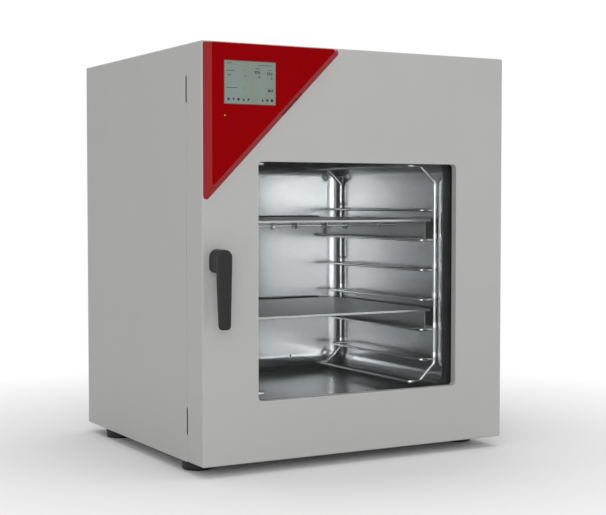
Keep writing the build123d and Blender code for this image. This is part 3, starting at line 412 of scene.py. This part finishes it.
def wire_object(name, radius, resolution=8):
    """Empty curve object for round wires, and its curve."""
    curve = bpy.data.curves.new(name, "CURVE")
    curve.dimensions = "3D"
    curve.bevel_depth = radius
    curve.bevel_resolution = 5
    curve.resolution_u = resolution
    curve.use_fill_caps = True
    item = bpy.data.objects.new(name, curve)
    bpy.context.scene.collection.objects.link(item)
    return item, curve


# Dressed copies of sheets and fittings

# Edge round of each node's dressed copy, in millimetres
ROUNDED = {
    "housing_wrap": 0.35,
    "door_skin": 0.35,
    "door_inner_panel": 0.5,
    "front_frame": 0.4,
    "base_pan": 0.4,
    "chamber": 0.6,
    "lower_shelf": 0.4,
    "upper_shelf": 0.4,
    "lower_shelf_channels": 0.35,
    "upper_shelf_channels": 0.35,
    "clamp_nuts": 0.5,
    "clamp_lugs": 0.4,
    "pane_carrier": 0.3,
    "glass_clips": 0.3,
    "setting_blocks": 0.8,
    "rear_panel": 0.35,
    "rear_panel_screws": 0.4,
    "mains_inlet": 0.5,
    "vacuum_pipe": 0.5,
    "vent_pipe": 0.5,
    "lower_hinge_cabinet_leaf": 0.4,
    "lower_hinge_door_leaf": 0.4,
    "upper_hinge_cabinet_leaf": 0.4,
    "upper_hinge_door_leaf": 0.4,
    "slot_blanks_cabinet": 0.4,
    "slot_blanks_door": 0.4,
    "latch_tongue": 0.5,
    "latch_keeper": 0.3,
    "latch_bush": 0.3,
    "shelf_stops": 0.7,
    "power_key": 0.25,
}
for node, width in ROUNDED.items():
    dressed_copy(node, width)


# Control panel


def control_panel():
    """Triangular moulding with a satin face and glossier bevels, the bevels painted a lighter red as
    painted light.
    """
    item = link_mesh("control_panel_dressed", solid_copy("control_panel"), 30.0)
    soften(item, 0.45, 3, 12.0)
    place_piece(item, "door", "red_panel", [FINISH["red_panel"], RED_BEVEL_PAINTED_LIGHTER], "control_panel")
    for face in item.data.polygons:
        slanting = 0.2 < abs(face.normal.y) < 0.95
        face.material_index = 1 if slanting else 0


control_panel()


# Display

SCREEN_FRAME_WIDTH = 0.9 * MM
PICTURE_LIFT = 0.04 * MM
PICTURE_DEPTH = 0.5 * MM
INK_LIFT = 0.06 * MM
# Rows of dashes as (left, right, level, count, half thickness), in shares of the display's sides
DASH_ROWS = (
    (0.055, 0.15, 0.07, 4, 0.009),
    (0.66, 0.94, 0.09, 9, 0.007),
    (0.60, 0.68, 0.17, 4, 0.009),
    (0.85, 0.92, 0.19, 3, 0.009),
    (0.05, 0.20, 0.235, 7, 0.009),
    (0.38, 0.40, 0.225, 1, 0.009),
    (0.075, 0.135, 0.335, 3, 0.009),
    (0.375, 0.43, 0.345, 3, 0.009),
    (0.05, 0.26, 0.625, 8, 0.009),
    (0.38, 0.40, 0.625, 1, 0.009),
    (0.055, 0.066111, 0.54, 1, 0.005),
    (0.115, 0.126111, 0.54, 1, 0.005),
)
DASH_SHARE = 0.72
# Figures as (text, right edge, foot, height, boldness), in shares of the display's sides
FIGURES = (
    ("37.0", 0.69, 0.285, 0.085, 0.035),
    ("37.0", 0.93, 0.305, 0.085, 0.035),
    ("0", 0.69, 0.385, 0.07, 0.03),
    ("0", 0.93, 0.40, 0.07, 0.03),
    ("40.0", 0.945, 0.695, 0.085, 0.035),
)


def prism(bm, outline, y_front, y_back):
    """Upright prism from (x, z) points."""
    front = [bm.verts.new((x, y_front, z)) for x, z in outline]
    back = [bm.verts.new((x, y_back, z)) for x, z in outline]
    bm.faces.new(front)
    bm.faces.new(back[::-1])
    for index in range(len(outline)):
        after = (index + 1) % len(outline)
        bm.faces.new((front[index], back[index], back[after], front[after]))


def rectangle(x_low, x_high, z_low, z_high):
    """Corners of an upright rectangle, as (x, z) points."""
    return ((x_low, z_low), (x_high, z_low), (x_high, z_high), (x_low, z_high))


def add_figures(bm, text, place, height, bold):
    """Generic figures as raised shapes, right aligned on place."""
    curve = bpy.data.curves.new("figures", "FONT")
    curve.body = text
    curve.size = height
    curve.align_x = "RIGHT"
    curve.offset = height * bold
    curve.extrude = INK_LIFT / 2
    curve.resolution_u = 3
    helper = bpy.data.objects.new("figures", curve)
    bpy.context.scene.collection.objects.link(helper)
    bpy.context.view_layer.update()
    mesh = bpy.data.meshes.new_from_object(helper)
    mesh.transform(Matrix.Translation(place) @ Matrix.Rotation(math.pi / 2, 4, "X"))
    bm.from_mesh(mesh)
    bpy.data.objects.remove(helper)
    bpy.data.meshes.remove(mesh)
    bpy.data.curves.remove(curve)


def display():
    """Display module: a thin frame, the lit picture and its marks."""
    low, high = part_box("display")
    width, height = high.x - low.x, high.z - low.z
    bm = bmesh.new()
    prism(bm, rectangle(low.x, high.x, low.z, high.z), low.y, high.y)
    module = link_mesh("display_module", bm)
    soften(module, 0.3)
    place_piece(module, "door", "screen", [SCREEN_FRAME], "display")
    picture_y = low.y - PICTURE_LIFT
    bm = bmesh.new()
    rim = SCREEN_FRAME_WIDTH
    picture = rectangle(low.x + rim, high.x - rim, low.z + rim, high.z - rim)
    prism(bm, picture, picture_y, low.y + PICTURE_DEPTH)
    place_piece(link_mesh("display_picture", bm), "door", "screen", [FINISH["screen"]])

    def at(u, v):
        """Place on the display, from its left and upper sides."""
        return low.x + u * width, high.z - v * height

    bm = bmesh.new()
    ink_front = picture_y - INK_LIFT
    for u_low, u_high, v, count, thick in DASH_ROWS:
        pitch = (u_high - u_low) / count
        for index in range(count):
            start = u_low + index * pitch
            x_low, z = at(start, v)
            x_high = at(start + pitch * DASH_SHARE, v)[0]
            half = thick * height
            prism(bm, rectangle(x_low, x_high, z - half, z + half), ink_front, picture_y)
    for text, u, v, size, bold in FIGURES:
        x, z = at(u, v)
        add_figures(bm, text, Vector((x, picture_y - INK_LIFT / 2, z)), size * height, bold)
    add_icons(bm, at, width, ink_front, picture_y)
    place_piece(link_mesh("display_marks", bm), "door", "screen", [INK])


def placed(points, centre, size):
    """Outline moved to a centre and scaled."""
    return [(centre[0] + u * size, centre[1] + v * size) for u, v in points]


ICON_LEVEL = 0.885
ICON_SIZE = 0.05
ARROW_UP = ((-0.5, -0.4), (0.5, -0.4), (0.0, 0.5))
ARROW_DOWN = ((-0.5, 0.4), (0.0, -0.5), (0.5, 0.4))
ARROW_RIGHT = ((-0.4, -0.5), (0.5, 0.0), (-0.4, 0.5))
SQUARE = ((-0.4, -0.4), (0.4, -0.4), (0.4, 0.4), (-0.4, 0.4))


def add_icons(bm, at, width, y_front, y_back):
    """Row of simple signs along the foot of the picture."""
    size = ICON_SIZE * width
    ring = arc((0, 0), 0.5, 0, 330, 11)
    signs = (
        (0.085, SQUARE), (0.18, ARROW_DOWN), (0.275, ring), (0.375, ARROW_UP), (0.47, ARROW_RIGHT),
        (0.74, ARROW_UP), (0.83, SQUARE), (0.92, ring),
    )
    for u, sign in signs:
        prism(bm, placed(sign, at(u, ICON_LEVEL), size), y_front, y_back)


display()


LENS_BULGE = 0.45


def status_led():
    """Domed green lens in the panel's face."""
    low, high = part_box("status_led")
    radius = (high.x - low.x) / 2
    bm = bmesh.new()
    dome = []
    for degrees in (5, 30, 55, 80):
        angle = math.radians(degrees)
        dome.append((radius * math.cos(angle), LENS_BULGE * radius * math.sin(angle)))
    lathe(bm, Vector(), [(radius, -(high.y - low.y)), (radius, 0.0)] + dome, 24)
    upright = Matrix.Rotation(math.pi / 2, 4, "X")
    centre = Vector(((low.x + high.x) / 2, low.y, (low.z + high.z) / 2))
    bm.transform(Matrix.Translation(centre) @ upright)
    lens = link_mesh("status_led_lens", bm)
    place_piece(lens, "door", "green_lens", [FINISH["green_lens"]], "status_led")


status_led()


# Lever

LEVER_VOXEL = 0.9 * MM
LEVER_RELAX_STEPS = 7


def lever():
    """Soft-edged moulding: the CAD lever remeshed and relaxed."""
    item = link_mesh("lever_moulding", solid_copy("lever"), 80.0)
    grid = item.modifiers.new("Grid", "REMESH")
    grid.mode = "VOXEL"
    grid.voxel_size = LEVER_VOXEL
    grid.use_smooth_shade = True
    relax = item.modifiers.new("Relax", "SMOOTH")
    relax.factor = 0.5
    relax.iterations = LEVER_RELAX_STEPS
    place_piece(item, "lever", "black_plastic", [FINISH["black_plastic"]], "lever")


lever()


# Gasket


GASKET_WIDTH = 18 * MM
GASKET_CORNER = 28 * MM
GASKET_RIBS = 4
RIB_STEPS = 6
RIB_DEPTH = 1.3 * MM


def gasket():
    """Ribbed rubber ring between the tank's mouth and the safety glass."""
    low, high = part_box("door_gasket")
    centre = ((low.x + high.x) / 2, (low.z + high.z) / 2)
    wide = GASKET_WIDTH
    half_width = (high.x - low.x) / 2 - wide
    half_height = (high.z - low.z) / 2 - wide
    front, back = low.y, high.y
    profile = [
        (0.6 * MM, front), (wide - 0.8 * MM, front), (wide, front + 1.5 * MM), (wide, back),
        (0.4 * MM, back),
    ]
    steps = GASKET_RIBS * RIB_STEPS
    for step in range(1, steps):
        share = step / steps
        bulge = abs(math.sin(math.pi * GASKET_RIBS * share)) ** 0.7
        profile.append(((1.0 - bulge) * RIB_DEPTH, back - share * (back - front)))
    item = ring_mesh("door_gasket_ribbed", centre, half_width, half_height, GASKET_CORNER, profile)
    place_piece(item, "cabinet", "black_rubber", [FINISH["black_rubber"]], "door_gasket")


gasket()


# Racks

POST = 3.0 * MM
RUNG = 2.5 * MM
RUNG_COUNT = 6
RUNG_PITCH = 52.5 * MM
FIRST_RUNG = 48.1 * MM
FOOT_RISE = 11.6 * MM
FORK_RISE = 40.6 * MM
KNEE_LIFT = 1.0 * MM
KNEE_REACH = 35.6 * MM
FOOT_REACH = 58.6 * MM
RUNG_REACH = 30.6 * MM
SEAT_GAP = 0.3 * MM
TANK = 400.0 * MM
FORK_BEND = 9 * MM
FOOT_BEND = 7 * MM
RUNG_BEND = 6 * MM
WELD_SWELL = 0.9 * MM
WELD_LOW = 1.5 * MM
WELD_HIGH = 13 * MM


def rack_frame(side, sign, wall, post_x, ends, levels):
    """Two halves of bent wire that are welded end to end at half height."""
    front, rear = ends
    floor_z, mid_z, roof_z = levels
    item, curve = wire_object(f"rack_{side}_frame", POST)
    for end, lift in ((floor_z, 1), (roof_z, -1)):
        foot_z = end + lift * FOOT_RISE
        fork_z = end + lift * FORK_RISE
        knee_z = foot_z + lift * KNEE_LIFT
        knee_x = wall - sign * KNEE_REACH
        foot_x = wall - sign * FOOT_REACH
        stretch = [
            Vector((post_x, front, mid_z)), Vector((post_x, front, fork_z)),
            Vector((knee_x, front, knee_z)), Vector((foot_x, front, foot_z)),
            Vector((foot_x, rear, foot_z)), Vector((knee_x, rear, knee_z)),
            Vector((post_x, rear, fork_z)), Vector((post_x, rear, mid_z)),
        ]
        bends = [FORK_BEND, FORK_BEND, FOOT_BEND]
        add_wire(curve, stretch, bends + bends[::-1])
    place_piece(item, "cabinet", "wire_chrome", [FINISH["wire_chrome"]], f"rack_{side}")


def rack_rungs(side, sign, wall, ends, rung_levels):
    """Bent rungs between the front and the rear post."""
    item, curve = wire_object(f"rack_{side}_rungs", RUNG)
    rung_x = wall - sign * RUNG_REACH
    stub_x = wall - sign * SEAT_GAP
    near, far = ends[0] + POST + RUNG, ends[1] - POST - RUNG
    for z in rung_levels:
        stretch = [
            Vector((stub_x, near, z)), Vector((rung_x, near, z)),
            Vector((rung_x, far, z)), Vector((stub_x, far, z)),
        ]
        add_wire(curve, stretch, [RUNG_BEND, RUNG_BEND])
    place_piece(item, "cabinet", "wire_chrome", [FINISH["wire_chrome"]], f"rack_rungs_{side}")


def rack_welds(side, post_x, ends, rung_levels):
    """Swollen weld above each rung on both posts."""
    collar = [
        (POST * 1.02, WELD_LOW), (POST + WELD_SWELL, WELD_LOW + 1 * MM),
        (POST + WELD_SWELL, WELD_HIGH - 2 * MM), (POST * 1.02, WELD_HIGH),
    ]
    bm = bmesh.new()
    for z in rung_levels:
        for y in ends:
            lathe(bm, Vector((post_x, y, z)), collar, 24)
    welds = link_mesh(f"rack_{side}_welds", bm)
    place_piece(welds, "cabinet", "wire_chrome", [FINISH["wire_chrome"]])


def racks():
    """Bent and welded wire racks on both side walls."""
    mid_x = sum(v.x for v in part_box("chamber")) / 2
    mid_z = sum(v.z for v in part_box("chamber")) / 2
    floor_z, roof_z = mid_z - TANK / 2, mid_z + TANK / 2
    rung_levels = [floor_z + FIRST_RUNG + index * RUNG_PITCH for index in range(RUNG_COUNT)]
    for side, sign in (("right", 1), ("left", -1)):
        low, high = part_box(f"rack_{side}")
        wall = mid_x + sign * TANK / 2
        post_x = (high.x - POST) if sign > 0 else (low.x + POST)
        ends = (low.y + POST, high.y - POST)
        rack_frame(side, sign, wall, post_x, ends, (floor_z, mid_z, roof_z))
        rack_rungs(side, sign, wall, ends, rung_levels)
        rack_welds(side, post_x, ends, rung_levels)


racks()


# Feet


FOOT_RADIUS = 25 * MM
FOOT_EDGE = 3.5 * MM


def feet():
    """Moulded rubber feet with a rounded lower edge and a hollow under the screw."""
    low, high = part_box("feet")
    radius, edge = FOOT_RADIUS, FOOT_EDGE
    height = high.z - low.z
    profile = [(5 * MM, 3 * MM), (5.5 * MM, 0.4 * MM), (6 * MM, 0.0)]
    profile += arc((radius - edge, edge), edge, -90, 0, 8)
    profile += [(radius, height - 1.2 * MM), (radius - 0.8 * MM, height - 0.3 * MM)]
    profile.append((radius - 2 * MM, height))
    bm = bmesh.new()
    for x in (low.x + radius, high.x - radius):
        for y in (low.y + radius, high.y - radius):
            lathe(bm, Vector((x, y, 0.0)), profile, 56)
    item = link_mesh("feet_moulded", bm)
    place_piece(item, "cabinet", "black_rubber", [FINISH["black_rubber"]], "feet")


feet()


# Panes

for node in ("outer_pane", "safety_glass"):
    pane = dressed_copy(node, 0.6)
    pane.visible_shadow = False


# Floor, world, light, camera


FLOOR_RADIUS = 9.0
FLOOR_TONE = (0.90, 0.90, 0.90, 1.0)
WHITE = (1.0, 1.0, 1.0, 1.0)
FADE_START = 0.36
FADE_END = 1.05
AMBIENT = 0.50
SEEN_RAYS = ("Is Camera Ray", "Is Glossy Ray", "Is Transmission Ray")
# Area lamps as (name, place, target, side, power), in metres and watts
LAMPS = (
    ("key", (-1.55, -2.815, 1.15), (0.0, 0.0, 0.35), 2.0, 30.0),
    ("fill", (2.6, -2.4, 1.2), (0.0, 0.0, 0.35), 2.0, 10.0),
    ("top", (0.0, 0.0, 3.2), (0.0, 0.0, 0.0), 3.0, 32.0),
)
CAMERA_PLACE = (-1.15742, -2.09327, 0.43392)
CAMERA_TILT = 90 - 2.525
CAMERA_TURN = -29.408
CAMERA_LENS = 78.94


def stage():
    """Pale floor that keeps the shadow near the object and runs out into the white beyond."""
    bm = bmesh.new()
    bmesh.ops.create_circle(bm, cap_ends=True, segments=96, radius=FLOOR_RADIUS)
    floor = link_mesh("floor", bm)
    material = bpy.data.materials.new("floor")
    material.use_nodes = True
    tree = material.node_tree
    shader = tree.nodes["Principled BSDF"]
    shader.inputs["Base Color"].default_value = FLOOR_TONE
    shader.inputs["Roughness"].default_value = 0.9
    shader.inputs["Specular IOR Level"].default_value = 0.0
    glow = tree.nodes.new("ShaderNodeEmission")
    glow.inputs["Color"].default_value = WHITE
    rays = tree.nodes.new("ShaderNodeLightPath")
    seen = either(tree, rays, SEEN_RAYS)
    place = tree.nodes.new("ShaderNodeTexCoord")
    length = tree.nodes.new("ShaderNodeVectorMath")
    length.operation = "LENGTH"
    tree.links.new(place.outputs["Object"], length.inputs[0])
    far = spread(tree, length.outputs["Value"], 0.0, 1.0, FADE_START, FADE_END)
    both = tree.nodes.new("ShaderNodeMath")
    both.operation = "MULTIPLY"
    tree.links.new(seen, both.inputs[0])
    tree.links.new(far, both.inputs[1])
    mix = tree.nodes.new("ShaderNodeMixShader")
    tree.links.new(both.outputs[0], mix.inputs[0])
    tree.links.new(shader.outputs[0], mix.inputs[1])
    tree.links.new(glow.outputs[0], mix.inputs[2])
    tree.links.new(mix.outputs[0], tree.nodes["Material Output"].inputs["Surface"])
    floor.data.materials.append(material)


def either(tree, rays, kinds):
    """1 where a ray is one of the kinds."""
    total = rays.outputs[kinds[0]]
    for kind in kinds[1:]:
        add = tree.nodes.new("ShaderNodeMath")
        add.operation = "MAXIMUM"
        tree.links.new(total, add.inputs[0])
        tree.links.new(rays.outputs[kind], add.inputs[1])
        total = add.outputs[0]
    return total


def world(ambient):
    """White behind the object and in its reflections, softer as light."""
    surround = bpy.data.worlds.new("studio")
    bpy.context.scene.world = surround
    surround.use_nodes = True
    tree = surround.node_tree
    back = tree.nodes["Background"]
    back.inputs["Color"].default_value = WHITE
    rays = tree.nodes.new("ShaderNodeLightPath")
    seen = either(tree, rays, SEEN_RAYS)
    tree.links.new(spread(tree, seen, ambient, 1.0, 0.0, 1.0), back.inputs["Strength"])


def area_light(name, place, target, size, power):
    """Square lamp that faces a target."""
    lamp = bpy.data.lights.new(name, "AREA")
    lamp.shape = "SQUARE"
    lamp.size = size
    lamp.energy = power
    item = bpy.data.objects.new(name, lamp)
    bpy.context.scene.collection.objects.link(item)
    item.location = place
    item.rotation_euler = (Vector(target) - Vector(place)).to_track_quat("-Z", "Y").to_euler()


def camera():
    """Camera fitted to the corners of the cabinet in the photograph."""
    lens = bpy.data.cameras.new("camera")
    lens.sensor_width = 36.0
    lens.lens = CAMERA_LENS
    lens.clip_start = 0.05
    item = bpy.data.objects.new("camera", lens)
    bpy.context.scene.collection.objects.link(item)
    item.location = CAMERA_PLACE
    item.rotation_euler = (math.radians(CAMERA_TILT), 0.0, math.radians(CAMERA_TURN))
    bpy.context.scene.camera = item


stage()
world(AMBIENT)
for lamp in LAMPS:
    area_light(*lamp)
camera()
bpy.context.scene.view_settings.view_transform = "Standard"
